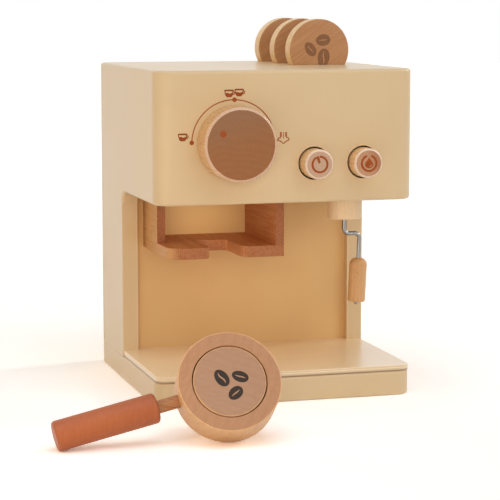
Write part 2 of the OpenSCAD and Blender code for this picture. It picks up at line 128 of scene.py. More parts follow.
def startGroup(name, inputs, outputs):
    tree = bpy.data.node_groups.new(name, "ShaderNodeTree")
    for label, kind, start in inputs:
        socket = tree.interface.new_socket(label, in_out="INPUT", socket_type=kind)
        if start is not None:
            socket.default_value = start
    for label, kind in outputs:
        tree.interface.new_socket(label, in_out="OUTPUT", socket_type=kind)
    return tree, tree.nodes.new("NodeGroupInput"), tree.nodes.new("NodeGroupOutput")


def startMaterial(name):
    material = bpy.data.materials.new(name)
    material.use_nodes = True
    tree = material.node_tree
    return material, tree, tree.nodes["Principled BSDF"]


def coat(piece, material):
    piece.data.materials.clear()
    piece.data.materials.append(material)


print("camera")
cameraView = {
    "place": (-416.21, -1448.70, 301.0),
    "turnedRight": 0.2799,  # radians
    "lookingDown": 0.1312,
    "lens": 137.63,
    "sensor": 36,
}
bpy.ops.object.camera_add(location=metres(cameraView["place"]))
camera = bpy.context.object
camera.name = "photoCamera"
camera.rotation_euler = (pi / 2 - cameraView["lookingDown"], 0, -cameraView["turnedRight"])
camera.data.lens = cameraView["lens"]
camera.data.sensor_width = cameraView["sensor"]
camera.data.clip_end = 50
scene.camera = camera

print("light")
studio = {
    "ambient": (0.08, 0.085, 0.09, 1.0),
    "suns": {
        # turned from straight down, in degrees; strength; how wide it looks; colour
        "lowFront": ((87, 0, -14), 1.20, 40, (1.0, 0.88, 0.70)),
        "leftFill": ((65, 0, -95), 0.65, 60, (1.0, 0.70, 0.34)),
        "rightFront": ((62, 0, 35), 0.66, 50, (0.96, 0.96, 1.0)),
        "overhead": ((15, 0, -16), 1.15, 60, (0.74, 0.86, 1.0)),
        "key": ((60, 0, 99), 0.75, 12, (1.0, 0.90, 0.76)),
        "behind": ((75, 0, -165), 0.85, 40, (1.0, 0.96, 0.92)),
    },
    # the mirror glare of these would whiten the top as seen from the far side
    "leftOutOfShines": ("lowFront", "behind"),
    # soft panels that look into the cup space, one from the table and one under the head
    "panels": {
        "cupSpaceLight": {"place": (-250, -330, 110), "aim": (10, 20, 125), "size": (200, 200),
                          "spread": 180, "watts": 0.11, "color": (1.0, 0.76, 0.48)},
        "underHeadLight": {"place": (-36, -88, 133), "aim": (-36, 24, 130), "size": (60, 14),
                           "spread": 40, "watts": 0.003, "color": (1.0, 0.88, 0.64)},
    },
}
world = bpy.data.worlds.new("whiteRoom")
world.use_nodes = True
scene.world = world
scene.view_settings.view_transform = "Standard"
opaqueWhite = (1, 1, 1, 1)


# Rays that show the backdrop and the table themselves, straight, in a shine or through glass
def directRays(tree):
    rays = put(tree, "LightPath")
    seen = calc(tree, "MAXIMUM", rays.outputs["Is Camera Ray"], rays.outputs["Is Glossy Ray"])
    return calc(tree, "MAXIMUM", seen, rays.outputs["Is Transmission Ray"])


tree = world.node_tree
tree.nodes.clear()
room = put(tree, "Background", {"Color": studio["ambient"]})
backdrop = put(tree, "Background", {"Color": opaqueWhite})
mixed = put(tree, "MixShader",
            {0: directRays(tree), 1: room.outputs[0], 2: backdrop.outputs[0]})
put(tree, "OutputWorld", {"Surface": mixed.outputs[0]})
for name, (tilt, strength, spread, color) in studio["suns"].items():
    bpy.ops.object.light_add(type="SUN", location=(0, 0, 1))
    lamp = bpy.context.object
    lamp.name = name
    lamp.rotation_euler = [radians(angle) for angle in tilt]
    lamp.data.energy = strength
    lamp.data.angle = radians(spread)
    lamp.data.color = color
    lamp.visible_glossy = name not in studio["leftOutOfShines"]
for name, panel in studio["panels"].items():
    heading = metres(panel["aim"]) - metres(panel["place"])
    bpy.ops.object.light_add(type="AREA", location=metres(panel["place"]),
                             rotation=heading.to_track_quat("-Z", "Y").to_euler())
    lamp = bpy.context.object
    lamp.name = name
    lamp.data.shape = "RECTANGLE"
    lamp.data.size, lamp.data.size_y = [side * mm for side in panel["size"]]
    lamp.data.spread = radians(panel["spread"])
    lamp.data.energy = panel["watts"]
    lamp.data.color = panel["color"]
    lamp.visible_camera = False

print("table")
# A white table. What the camera sees of it is lit twice over, so that only its shadows show.
tableTop = {"size": 14000, "color": (0.97, 0.97, 0.97, 1.0),
            "seenColor": (0.74, 0.715, 0.69, 1.0), "whitened": 0.04}
bpy.ops.object.select_all(action="DESELECT")
bpy.ops.mesh.primitive_plane_add(size=tableTop["size"] * mm)
table = bpy.context.object
table.name = "whiteTable"
material, tree, shader = startMaterial("whiteTable")
tree.nodes.clear()
matt = put(tree, "BsdfDiffuse", {"Color": tableTop["color"]})
bright = put(tree, "BsdfDiffuse", {"Color": tableTop["seenColor"]})
lit = put(tree, "AddShader", {0: bright.outputs[0], 1: bright.outputs[0]})
white = put(tree, "Emission", {"Color": opaqueWhite, "Strength": 1.0})
seen = put(tree, "MixShader",
           {0: tableTop["whitened"], 1: lit.outputs[0], 2: white.outputs[0]})
mixed = put(tree, "MixShader", {0: directRays(tree), 1: matt.outputs[0], 2: seen.outputs[0]})
put(tree, "OutputMaterial", {"Surface": mixed.outputs[0]})
coat(table, material)
table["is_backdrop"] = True

print("shader groups")


# How often each pattern repeats in a metre, with X along the grain of the wood, and Z along
# the grain under the paint
woodPattern = {"slow": (5, 26, 26), "fibre": (24, 620, 620), "flecks": (330, 1900, 1900),
               "strayRings": 6.0, "ringPower": 1.6}
paintPattern = {"clouds": (14, 14, 14), "grain": (420, 420, 18), "peel": (700, 700, 700)}
plyPattern = (500, 500, 900)
inkPattern = {"patches": (900, 900, 900), "shine": (400, 400, 400)}


# Solid wood: the grain runs along X of the vector, and the rings lie round its X axis
def makeWoodFigure():
    tree, inside, out = startGroup(
        "woodFigure",
        [("Vector", "NodeSocketVector", None), ("Ring Gap", "NodeSocketFloat", 0.002),
         ("Wander", "NodeSocketFloat", 1.0)],
        [("Rings", "NodeSocketFloat"), ("Fibre", "NodeSocketFloat"),
         ("Flecks", "NodeSocketFloat")])
    place = inside.outputs["Vector"]
    axes = put(tree, "SeparateXYZ", {0: place})
    across = put(tree, "CombineXYZ", {1: axes.outputs[1], 2: axes.outputs[2]}).outputs[0]
    radius = put(tree, "VectorMath", {0: across}, operation="LENGTH").outputs["Value"]
    slow = calc(tree, "SUBTRACT", noise(tree, place, woodPattern["slow"], 1.0), 0.5)
    stray = calc(tree, "MULTIPLY", inside.outputs["Wander"], woodPattern["strayRings"])
    slow = calc(tree, "MULTIPLY", slow, stray)
    turns = calc(tree, "ADD", calc(tree, "DIVIDE", radius, inside.outputs["Ring Gap"]), slow)
    wave = calc(tree, "SINE", calc(tree, "MULTIPLY", turns, 2 * pi))
    rings = calc(tree, "POWER", calc(tree, "MULTIPLY_ADD", wave, 0.5, 0.5),
                 woodPattern["ringPower"])
    fibre = noise(tree, place, woodPattern["fibre"], 4.0)
    flecks = remap(tree, noise(tree, place, woodPattern["flecks"], 1.0), 0.60, 0.70)
    tree.links.new(rings, out.inputs["Rings"])
    tree.links.new(fibre, out.inputs["Fibre"])
    tree.links.new(flecks, out.inputs["Flecks"])
    return tree


# Where a surface turns over an edge, and the normal that eases round it
def makeEdgeMask():
    tree, inside, out = startGroup(
        "edgeMask", [("Reach", "NodeSocketFloat", 0.001)],
        [("Edge", "NodeSocketFloat"), ("Normal", "NodeSocketVector")])
    eased = put(tree, "Bevel", {"Radius": inside.outputs["Reach"]}, samples=4)
    plain = put(tree, "NewGeometry").outputs["Normal"]
    along = put(tree, "VectorMath", {0: eased.outputs[0], 1: plain}, operation="DOT_PRODUCT")
    turned = calc(tree, "SUBTRACT", 1.0, along.outputs["Value"])
    tree.links.new(remap(tree, turned, 0.01, 0.22), out.inputs["Edge"])
    tree.links.new(eased.outputs[0], out.inputs["Normal"])
    return tree


# Sprayed paint over wood: slow clouds, a fine skin and faint grain that shows through
def makePaintSkin():
    tree, inside, out = startGroup(
        "paintSkin", [("Vector", "NodeSocketVector", None)],
        [("Clouds", "NodeSocketFloat"), ("Grain", "NodeSocketFloat"),
         ("Height", "NodeSocketFloat")])
    place = inside.outputs["Vector"]
    clouds = noise(tree, place, paintPattern["clouds"], 3.0)
    grain = noise(tree, place, paintPattern["grain"], 3.0)
    peel = noise(tree, place, paintPattern["peel"], 2.0)
    height = calc(tree, "MULTIPLY_ADD", grain, 0.5, peel)
    tree.links.new(clouds, out.inputs["Clouds"])
    tree.links.new(grain, out.inputs["Grain"])
    tree.links.new(height, out.inputs["Height"])
    return tree


woodFigure = makeWoodFigure()
edgeMask = makeEdgeMask()
paintSkin = makePaintSkin()

print("materials")
relief = {"paint": 0.00004, "wood": 0.00005, "metal": 0.00002}  # metres
holderFacing = (-0.112104, -0.851512, 0.512211)


# Paint in two near shades, lighter over its edges: partly thinner paint, partly a painted
# highlight
def paintMaterial(name, look):
    material, tree, shader = startMaterial(name)
    place = put(tree, "TexCoord").outputs["Object"]
    skin = put(tree, "Group", {}, node_tree=paintSkin)
    tree.links.new(place, skin.inputs["Vector"])
    edges = put(tree, "Group", {}, node_tree=edgeMask)
    edges.inputs["Reach"].default_value = look["edge"] * mm
    clouds = remap(tree, skin.outputs["Clouds"], 0.35, 0.68)
    tone = mixColors(tree, clouds, look["shade"], look["color"])
    streak = remap(tree, skin.outputs["Grain"], 0.42, 0.70, 0.0, look["streak"])
    tone = mixColors(tree, streak, tone, look["wornAndSheen"])
    wornAndSheen = calc(tree, "MULTIPLY", edges.outputs["Edge"], look["wearAndSheen"])
    tree.links.new(mixColors(tree, wornAndSheen, tone, look["wornAndSheen"]), shader.inputs["Base Color"])
    rough = remap(tree, skin.outputs["Clouds"], 0.3, 0.7, look["roughness"] - 0.04,
                  look["roughness"] + 0.04)
    tree.links.new(rough, shader.inputs["Roughness"])
    bump = put(tree, "Bump", {"Strength": look["bump"], "Distance": relief["paint"],
                              "Height": skin.outputs["Height"]})
    tree.links.new(bump.outputs[0], shader.inputs["Normal"])
    shader.inputs["Specular IOR Level"].default_value = look["shine"]
    shader.inputs["Coat Weight"].default_value = look["coat"]
    shader.inputs["Coat Roughness"].default_value = look["coatRoughness"]
    return material


# The wood figure laid through a piece along its own grain, and how far its rings and its
# fibre darken the wood
def layFigure(tree, look, place):
    turn = [radians(angle) for angle in look["turn"]]
    laid = put(tree, "Mapping", {"Location": metres(look["heart"]), "Rotation": turn,
                                 "Vector": place}, vector_type="TEXTURE")
    figure = put(tree, "Group", {}, node_tree=woodFigure)
    tree.links.new(laid.outputs[0], figure.inputs["Vector"])
    figure.inputs["Ring Gap"].default_value = look["ringGap"] * mm
    figure.inputs["Wander"].default_value = look["wander"]
    rings = calc(tree, "MULTIPLY", figure.outputs["Rings"], look["rings"])
    fibre = remap(tree, figure.outputs["Fibre"], 0.38, 0.66, 0.0, look["fibre"])
    return figure, rings, fibre


def grained(tree, rings, fibre, light, dark):
    return mixColors(tree, fibre, mixColors(tree, rings, light, dark), dark)


# How far a direction lies along another, such as a face's own direction along an axis
def alongness(tree, direction, axis):
    return put(tree, "VectorMath", {0: direction, 1: axis},
               operation="DOT_PRODUCT").outputs["Value"]


# Lacquered wood. "face" tones the faces across "axis", "rim" the turn of their edge, and
# "drift" deepens them along a line. "layers" draws lines along the sides, "sideFlecks" is
# their share of the flecks, and "pale" is painted light on the sides that look along
# "paleAxis", out to between the two X of "paleUntil". "faceShine" is the faces' own shine.
def woodMaterial(name, look):
    material, tree, shader = startMaterial(name)
    coordinates = put(tree, "TexCoord")
    place, direction = coordinates.outputs["Object"], coordinates.outputs["Normal"]
    figure, rings, fibre = layFigure(tree, look, place)
    tone = grained(tree, rings, fibre, look["light"], look["dark"])
    if "face" in look:
        facing = alongness(tree, direction, look["axis"])
        if look["bothFaces"]:
            facing = calc(tree, "ABSOLUTE", facing)
        onFace = remap(tree, facing, *look["faceFrom"])
        toned = grained(tree, rings, fibre, look["face"], look["faceDark"])
        if "drift" in look:
            drift = look["drift"]
            deep = remap(tree, alongness(tree, place, drift["along"]), drift["from"] * mm,
                         drift["to"] * mm, 0.0, drift["share"])
            toned = mixColors(tree, deep, toned, drift["color"])
        if "layers" in look:
            lines = noise(tree, place, look["layers"], 2.0)
            tone = mixColors(tree, remap(tree, lines, 0.45, 0.62, 0.0, 0.8), tone,
                             look["dark"])
        if "rim" in look:
            tone = mixColors(tree, remap(tree, facing, 0.10, 0.55), tone, look["rim"])
        tone = mixColors(tree, onFace, tone, toned)
    # Sides that face left, out on the bracket's left wall, are paler: painted light from the
    # left
    if "pale" in look:
        side = alongness(tree, direction, look["paleAxis"])
        spot = put(tree, "SeparateXYZ", {0: place}).outputs[0]
        within = remap(tree, spot, look["paleUntil"][0] * mm, look["paleUntil"][1] * mm,
                       1.0, 0.0)
        side = calc(tree, "MULTIPLY", remap(tree, side, 0.10, 0.90), within)
        tone = mixColors(tree, calc(tree, "MULTIPLY", side, look["paleness"]), tone,
                         look["pale"])
    flecks = calc(tree, "MULTIPLY", figure.outputs["Flecks"], look["flecks"])
    if "sideFlecks" in look:
        share = remap(tree, facing, *look["faceFrom"], look["sideFlecks"], 1.0)
        flecks = calc(tree, "MULTIPLY", flecks, share)
    tone = mixColors(tree, flecks, tone, look["fleckColor"])
    # Edges turn towards the light tone, partly wear and partly a painted highlight
    edges = put(tree, "Group", {}, node_tree=edgeMask)
    edges.inputs["Reach"].default_value = look["edge"] * mm
    wornAndSheen = calc(tree, "MULTIPLY", edges.outputs["Edge"], look["wearAndSheen"])
    tree.links.new(mixColors(tree, wornAndSheen, tone, look["light"]), shader.inputs["Base Color"])
    rough = remap(tree, figure.outputs["Fibre"], 0.3, 0.7, look["roughness"] - 0.05,
                  look["roughness"] + 0.06)
    tree.links.new(rough, shader.inputs["Roughness"])
    height = calc(tree, "MULTIPLY_ADD", figure.outputs["Rings"], 0.5,
                  figure.outputs["Fibre"])
    bump = put(tree, "Bump", {"Strength": look["bump"], "Distance": relief["wood"],
                              "Height": height, "Normal": edges.outputs["Normal"]})
    tree.links.new(bump.outputs[0], shader.inputs["Normal"])
    shader.inputs["Specular IOR Level"].default_value = look["shine"]
    if "faceShine" in look:
        shine = remap(tree, facing, *look["faceFrom"], look["shine"], look["faceShine"])
        tree.links.new(shine, shader.inputs["Specular IOR Level"])
    return material


# The cream's lighter edges, reaching over the whole 3 mm rounding, are a painted highlight
creamPaint = paintMaterial("creamPaint", {
    "color": srgb(222, 194, 152), "shade": srgb(219, 190, 147), "wornAndSheen": srgb(238, 216, 182),
    "edge": 3.0, "wearAndSheen": 0.6, "streak": 0.02, "roughness": 0.33, "bump": 0.10,
    "shine": 0.30, "coat": 0.15, "coatRoughness": 0.10})
# A warmer, deeper cream in the cup space: painted shade and bounced light of the recess
cupSpaceShadePaint = paintMaterial("cupSpaceShadePaint", {
    "color": srgb(230, 192, 138), "shade": srgb(226, 187, 132), "wornAndSheen": srgb(238, 208, 160),
    "edge": 1.2, "wearAndSheen": 0.3, "streak": 0.02, "roughness": 0.45, "bump": 0.10,
    "shine": 0.15, "coat": 0.0, "coatRoughness": 0.2})
terracottaPaint = paintMaterial("terracottaPaint", {
    "color": srgb(172, 93, 50), "shade": srgb(165, 86, 45), "wornAndSheen": srgb(188, 112, 72),
    "edge": 1.0, "wearAndSheen": 0.4, "streak": 0.18, "roughness": 0.42, "bump": 0.22,
    "shine": 0.35, "coat": 0.0, "coatRoughness": 0.2})

baseWood = {
    "light": srgb(224, 184, 136), "dark": srgb(203, 155, 105), "heart": (0, 0, 0),
    "turn": (0, 0, 0), "ringGap": 2.2, "wander": 0.8, "rings": 0.45, "fibre": 0.40,
    "flecks": 0.35, "fleckColor": srgb(164, 112, 68), "edge": 0.6, "wearAndSheen": 0.25,
    "roughness": 0.42, "bump": 0.16, "shine": 0.35, "bothFaces": False,
    "faceFrom": (0.965, 0.995)}


def wood(name, **changes):
    return woodMaterial(name, {**baseWood, **changes})


# Turned pieces: the faces are browner than the sides
knobWood = wood("knobWood", heart=(-41.6, 0, 112), turn=(0, 0, 90), ringGap=4.6,
                wander=0.9, light=srgb(222, 176, 122), dark=srgb(212, 164, 110),
                axis=(0, -1, 0), face=srgb(165, 109, 68), faceDark=srgb(141, 88, 51),
                faceFrom=(0.990, 0.9995), rim=srgb(214, 172, 138), rings=0.22, fibre=0.55,
                flecks=0.6, sideFlecks=0.1, fleckColor=srgb(132, 92, 62), roughness=0.27,
                shine=0.7, faceShine=0.2,
                drift={"color": srgb(148, 112, 84), "along": (-0.3, 0, 1), "from": 200,
                       "to": 232, "share": 0.6})
buttonWood = wood("buttonWood", heart=(20.8, 0, 179.6), turn=(0, 0, 90), ringGap=1.6,
                  wander=0.25, light=srgb(238, 198, 146), dark=srgb(222, 176, 122),
                  axis=(0, -1, 0), face=srgb(204, 166, 138), faceDark=srgb(186, 144, 114),
                  faceFrom=(0.970, 0.999), rim=srgb(234, 204, 178), rings=0.30, flecks=0.15,
                  roughness=0.27, shine=0.7, faceShine=0.4)
waterWood = wood("waterWood", heart=(50, 0, 179), turn=(0, 0, 90), ringGap=1.8,
                 wander=0.35, light=srgb(238, 198, 146), dark=srgb(222, 176, 122),
                 axis=(0, -1, 0), face=srgb(204, 156, 120), faceDark=srgb(176, 122, 84),
                 faceFrom=(0.970, 0.999), rim=srgb(234, 204, 178), rings=0.40,
                 roughness=0.27, shine=0.7, faceShine=0.3,
                 drift={"color": srgb(172, 112, 74), "along": (1, 0, 0.25), "from": 102,
                        "to": 113, "share": 0.7})
coinWood = wood("coinWood", heart=(20, 30, 150), turn=(0, -36, 0), ringGap=5.2, wander=1.8,
                light=srgb(246, 214, 162), dark=srgb(228, 188, 134), axis=(0, -1, 0),
                bothFaces=True, faceFrom=(0.50, 0.75), face=srgb(194, 144, 101),
                faceDark=srgb(176, 122, 80), rings=0.35, fibre=0.50, layers=(20, 800, 20))
holderWood = wood("holderWood", heart=(-74, -260, 300), turn=(0, -60, 0), ringGap=6.0,
                  light=srgb(226, 180, 132), dark=srgb(206, 154, 106),
                  axis=holderFacing, face=srgb(187, 137, 99), faceDark=srgb(171, 119, 82),
                  rings=0.25, fibre=0.30)
holderCoinWood = wood("holderCoinWood", heart=(-74, -220, -200), turn=(0, 20, 0), ringGap=5.0,
                      light=srgb(222, 176, 130), dark=srgb(202, 150, 104),
                      axis=holderFacing, face=srgb(179, 137, 106), faceDark=srgb(166, 122, 91),
                      rings=0.20, fibre=0.30)
bracketLook = {
    "light": srgb(212, 142, 92), "dark": srgb(186, 112, 66), "rings": 0.45, "fibre": 0.6,
    "fleckColor": srgb(116, 62, 34), "roughness": 0.5, "wearAndSheen": 0.35, "shine": 0.3,
    "axis": (0, -1, 0), "faceFrom": (0.60, 0.85),
    # a paler tone on the outer left side, painted light from the left
    "pale": srgb(214, 164, 108), "paleAxis": (-1, 0, 0),
    "paleUntil": (-77, -71)}
bracketWood = wood("bracketWood", heart=(-35, -20, 30), turn=(0, 0, 90), ringGap=2.0,
                   face=srgb(176, 112, 72), faceDark=srgb(146, 84, 48), flecks=0.6,
                   paleness=0.85, **bracketLook)
shelfWood = wood("shelfWood", heart=(165, 0, 108), turn=(0, 0, 90), ringGap=1.6, wander=0.5,
                 face=srgb(188, 124, 80), faceDark=srgb(158, 92, 52), paleness=0.70,
                 **bracketLook)
paleWood = wood("paleWood", heart=(30, -80, 0), turn=(0, 90, 0), ringGap=1.8,
                light=srgb(242, 214, 176), dark=srgb(228, 194, 152), rings=0.30, flecks=0.15)
gripWood = wood("gripWood", heart=(66, -90, 0), turn=(0, 90, 0), ringGap=2.4,
                light=srgb(222, 172, 118), dark=srgb(204, 150, 98), rings=0.35)
neckWood = wood("neckWood", heart=(-90, -220, 0), turn=(0, 15, 0), ringGap=1.6,
                light=srgb(181, 125, 78), dark=srgb(148, 92, 52), rings=0.5, fibre=0.7)
hiddenWood = wood("hiddenWood", heart=(0, -60, 100), turn=(0, 0, 0), ringGap=3.0)
# The bare wood in the button bores, painted near black as the shade in the gap round a button
boreShadeWood = wood("boreShadeWood", heart=(0, -60, 100), turn=(0, 0, 0), ringGap=3.0,
                light=srgb(62, 34, 24), dark=srgb(48, 26, 18), roughness=0.8, shine=0.1)


# Ink or a scorched print, patchy as it sank into the wood
def inkMaterial(name, look):
    material, tree, shader = startMaterial(name)
    place = put(tree, "TexCoord").outputs["Object"]
    patchy = remap(tree, noise(tree, place, inkPattern["patches"], 3.0), 0.35, 0.7)
    tree.links.new(mixColors(tree, patchy, look["color"], look["thin"]),
                   shader.inputs["Base Color"])
    rough = remap(tree, noise(tree, place, inkPattern["shine"], 2.0), 0.3, 0.7,
                  look["roughness"] - 0.05, look["roughness"] + 0.05)
    tree.links.new(rough, shader.inputs["Roughness"])
    shader.inputs["Specular IOR Level"].default_value = 0.15
    return material


redInk = inkMaterial("redInk", {"color": srgb(156, 74, 32), "thin": srgb(168, 88, 44),
                                "roughness": 0.6})
scorched = inkMaterial("scorched", {"color": srgb(138, 98, 70), "thin": srgb(148, 106, 76),
                                    "roughness": 0.5})
blackInk = inkMaterial("blackInk", {"color": srgb(54, 44, 38), "thin": srgb(66, 54, 46),
                                    "roughness": 0.5})


# Metal with a fine drawn grain
def metalMaterial(name, look):
    material, tree, shader = startMaterial(name)
    place = put(tree, "TexCoord").outputs["Object"]
    drawn = noise(tree, place, look["grain"], 3.0)
    tree.links.new(mixColors(tree, remap(tree, drawn, 0.3, 0.7), look["color"], look["dull"]),
                   shader.inputs["Base Color"])
    tree.links.new(remap(tree, drawn, 0.3, 0.7, look["roughness"], look["roughness"] + 0.08),
                   shader.inputs["Roughness"])
    bump = put(tree, "Bump", {"Strength": 0.08, "Distance": relief["metal"],
                              "Height": drawn})
    tree.links.new(bump.outputs[0], shader.inputs["Normal"])
    shader.inputs["Metallic"].default_value = 1.0
    return material


chrome = metalMaterial("chrome", {"color": srgb(160, 159, 156), "dull": srgb(134, 133, 130),
                                  "roughness": 0.18, "grain": (900, 900, 60)})
zinc = metalMaterial("zinc", {"color": srgb(190, 192, 196), "dull": srgb(160, 162, 166),
                              "roughness": 0.32, "grain": (500, 500, 500)})
springSteel = metalMaterial("springSteel", {"color": srgb(176, 178, 182),
                                            "dull": srgb(146, 148, 152),
                                            "roughness": 0.25, "grain": (700, 700, 700)})


# Plies one over the other by height from "from", with glue lines between them, a dark foot
# of painted shadow where the plate sits on the base, and the veneer's own grain on the flat
# faces
def plywoodMaterial(name, look):
    material, tree, shader = startMaterial(name)
    coordinates = put(tree, "TexCoord")
    place = coordinates.outputs["Object"]
    figure, rings, fibre = layFigure(tree, look, place)
    tone = grained(tree, rings, fibre, look["light"], look["dark"])
    height = put(tree, "SeparateXYZ", {0: place}).outputs[2]
    layer = calc(tree, "DIVIDE", calc(tree, "SUBTRACT", height, look["from"] * mm),
                 look["ply"] * mm)
    beat = calc(tree, "ABSOLUTE", calc(tree, "SINE", calc(tree, "MULTIPLY", layer, pi)))
    glue = remap(tree, beat, 0.05, 0.35, 1.0, 0.0)
    odd = calc(tree, "LESS_THAN", calc(tree, "FLOORED_MODULO", layer, 2.0), 1.0)
    edgeTone = mixColors(tree, odd, look["edgeDark"], look["edgeLight"])
    grain = noise(tree, place, plyPattern, 3.0)
    edgeTone = mixColors(tree, remap(tree, grain, 0.4, 0.7, 0.0, 0.35), edgeTone,
                         look["edgeDark"])
    edgeTone = mixColors(tree, glue, edgeTone, look["glue"])
    # The lowest few millimetres darken: painted shadow in the seam on the base
    foot = remap(tree, height, look["from"] * mm, (look["from"] + look["foot"]) * mm,
                 1.0, 0.0)
    edgeTone = mixColors(tree, foot, edgeTone, look["footShadowColor"])
    up = put(tree, "SeparateXYZ", {0: coordinates.outputs["Normal"]}).outputs[2]
    side = remap(tree, calc(tree, "ABSOLUTE", up), 0.45, 0.85, 1.0, 0.0)
    tree.links.new(mixColors(tree, side, tone, edgeTone), shader.inputs["Base Color"])
    shader.inputs["Roughness"].default_value = look["roughness"]
    shader.inputs["Coat Weight"].default_value = look["coat"]
    shader.inputs["Coat Roughness"].default_value = look["coatRoughness"]
    return material


plywood = plywoodMaterial("plywood", {
    "light": srgb(252, 228, 188), "dark": srgb(243, 210, 165), "heart": (40, -40, -160),
    "turn": (0, 0, 4), "ringGap": 9.0, "wander": 1.2, "rings": 0.10, "fibre": 0.06,
    "from": 18.3, "ply": 1.2, "edgeLight": srgb(244, 222, 184), "edgeDark": srgb(232, 204, 162),
    "glue": srgb(206, 170, 126), "foot": 2.2, "footShadowColor": srgb(104, 56, 28),
    "roughness": 0.34, "coat": 0.55, "coatRoughness": 0.24})

print("painted shell")
shell = {
    "half": 100, "inner": 87.5, "front": -101.5, "back": 101.5, "foot": 18.3, "top": 248.5,
    "headUnder": 150, "boardBack": -89, "roomFloor": 159, "roomTop": 230.5, "roomBack": 93.5,
    "column": 16.5, "cavity": 24.5, "cavityBack": 30.5,
    "frontCorner": 12.5, "backCorner": 10, "hollow": 10, "roundSteps": 12,
    "soft": 2.5, "softSteps": 5, "innerSoft": 1.0, "holeSoft": 0.4, "holeSteps": 3,
    # bores in the front board as x, z and radius, the wand's as x, y and radius
    "dialBore": (-41.6, 195.5, 5.08), "buttonBores": [(20.7, 179.3, 12.2), (59, 179.3, 12.2)],
    "wandBore": (59.8, -56.5, 1.78),
    "slots": {"x": 54.8, "z": 260.15, "radius": 24.65, "fronts": (-8.5, 34.8, 78.1),
              "wide": 14.0},
    "screwHoles": [(-77.8, -13.5), (-77.8, 14.5), (6.2, -13.5), (6.2, 14.5)],
    "screwRadius": 4.05, "screwDeep": 2.9,
    # how far the cream paint goes round the columns' edge and a bore's lip before the painted
    # shade begins
    "columnLip": 1.2, "boreLip": 0.7,
    # how far a cutter stands out past what it cuts, and how long the rods are
    "past": 10, "pastFoot": 5, "borePast": 3, "frontRod": 20, "wandRod": 16, "screwRod": 6,
    "broadFace": 300,  # square millimetres
    "faceFrame": 0.25,
}
# corners turning more than these, in degrees, are softened, and shaded as an edge
sharpTurn, smoothTurn = 30, 32
# the shell's materials after the cream paint, both of them painted shade
boreShadeIndex, cupSpaceShadeIndex = 1, 2
# how far apart two places may be and still count as the same
slack = 0.05


def box(name, low, high):
    low, high = metres(low), metres(high)
    bpy.ops.object.select_all(action="DESELECT")
    bpy.ops.mesh.primitive_cube_add(size=1, location=(low + high) / 2, scale=high - low)
    piece = bpy.context.object
    piece.name = name
    bpy.ops.object.transform_apply(location=True, rotation=True, scale=True)
    return piece


def rod(name, start, axis, length, radius, sides=64):
    start = metres(start)
    centre = start + axis * (length * mm / 2)
    turn = axis.to_track_quat("Z", "Y").to_euler()
    bpy.ops.object.select_all(action="DESELECT")
    bpy.ops.mesh.primitive_cylinder_add(vertices=sides, radius=radius * mm,
                                        depth=length * mm, location=centre, rotation=turn)
    piece = bpy.context.object
    piece.name = name
    bpy.ops.object.transform_apply(location=True, rotation=True, scale=True)
    return piece


def roundEdges(piece, radius, segments, wanted):
    pick(piece)
    bpy.ops.object.mode_set(mode="EDIT")
    bpy.ops.mesh.select_mode(type="EDGE")
    bpy.ops.mesh.select_all(action="DESELECT")
    bpy.ops.object.mode_set(mode="OBJECT")
    places = [vertex.co / mm for vertex in piece.data.vertices]
    for edge in piece.data.edges:
        edge.select = wanted(*[places[index] for index in edge.vertices])
    bpy.ops.object.mode_set(mode="EDIT")
    bpy.ops.mesh.bevel(offset=radius * mm, segments=segments, affect="EDGES")
    bpy.ops.object.mode_set(mode="OBJECT")


def cutAway(piece, cutter):
    pick(piece)
    cut = piece.modifiers.new("cut", "BOOLEAN")
    cut.operation = "DIFFERENCE"
    cut.solver = "EXACT"
    cut.object = cutter
    bpy.ops.object.modifier_apply(modifier=cut.name)
    bpy.data.objects.remove(cutter)


def near(value, wanted):
    return abs(value - wanted) < slack


def both(a, b, axis, wanted):
    return near(a[axis], wanted) and near(b[axis], wanted)


half, inner = shell["half"], shell["inner"]
front, back = shell["front"], shell["back"]
past, underFoot = shell["past"], shell["foot"] - shell["pastFoot"]
body = box("paintedShell", (-half, front, shell["foot"]), (half, back, shell["top"]))
for y, radius in ((front, shell["frontCorner"]), (back, shell["backCorner"])):
    roundEdges(body, radius, shell["roundSteps"],
               lambda a, b: both(a, b, 1, y) and near(a.x, b.x))

# The cup space: full width in front of the columns, with the hollow curve above them
space = box("space", (-half - past, front - past, underFoot),
            (half + past, shell["column"], shell["headUnder"]))
roundEdges(space, shell["hollow"], shell["roundSteps"],
           lambda a, b: both(a, b, 1, shell["column"]) and both(a, b, 2, shell["headUnder"]))
cutAway(body, space)
cutAway(body, box("room", (-inner, front - past, underFoot),
                  (inner, shell["cavity"], shell["headUnder"])))


# Rounds the outward edges of a piece, each as far as the rule says for its two ends
def softenEdges(piece, widest, segments, rule):
    work = bmesh.new()
    work.from_mesh(piece.data)
    bmesh.ops.remove_doubles(work, verts=work.verts, dist=0.00001)
    layers = work.edges.layers.float
    softness = layers.get("bevel_weight_edge") or layers.new("bevel_weight_edge")
    for edge in work.edges:
        edge[softness] = 0
        if len(edge.link_faces) == 2 and edge.calc_face_angle_signed() > radians(sharpTurn):
            a, b = [vertex.co / mm for vertex in edge.verts]
            edge[softness] = rule(a, b) / widest
    work.to_mesh(piece.data)
    work.free()
    pick(piece)
    soften = piece.modifiers.new("soften", "BEVEL")
    soften.limit_method = "WEIGHT"
    soften.width = widest * mm
    soften.segments = segments
    soften.use_clamp_overlap = False
    bpy.ops.object.modifier_apply(modifier=soften.name)


# Soft along the outside, less so down the columns, and sharp at its foot
def outerSoftness(a, b):
    if min(a.z, b.z) < shell["foot"] + slack:
        return 0
    if both(a, b, 2, shell["top"]) or both(a, b, 0, half) or both(a, b, 0, -half):
        return shell["soft"]
    if both(a, b, 2, shell["headUnder"]) and (
            max(a.y, b.y) < front + shell["frontCorner"] + slack):
        return shell["soft"]
    return shell["innerSoft"] if both(a, b, 1, shell["column"]) else 0


softenEdges(body, shell["soft"], shell["softSteps"], outerSoftness)

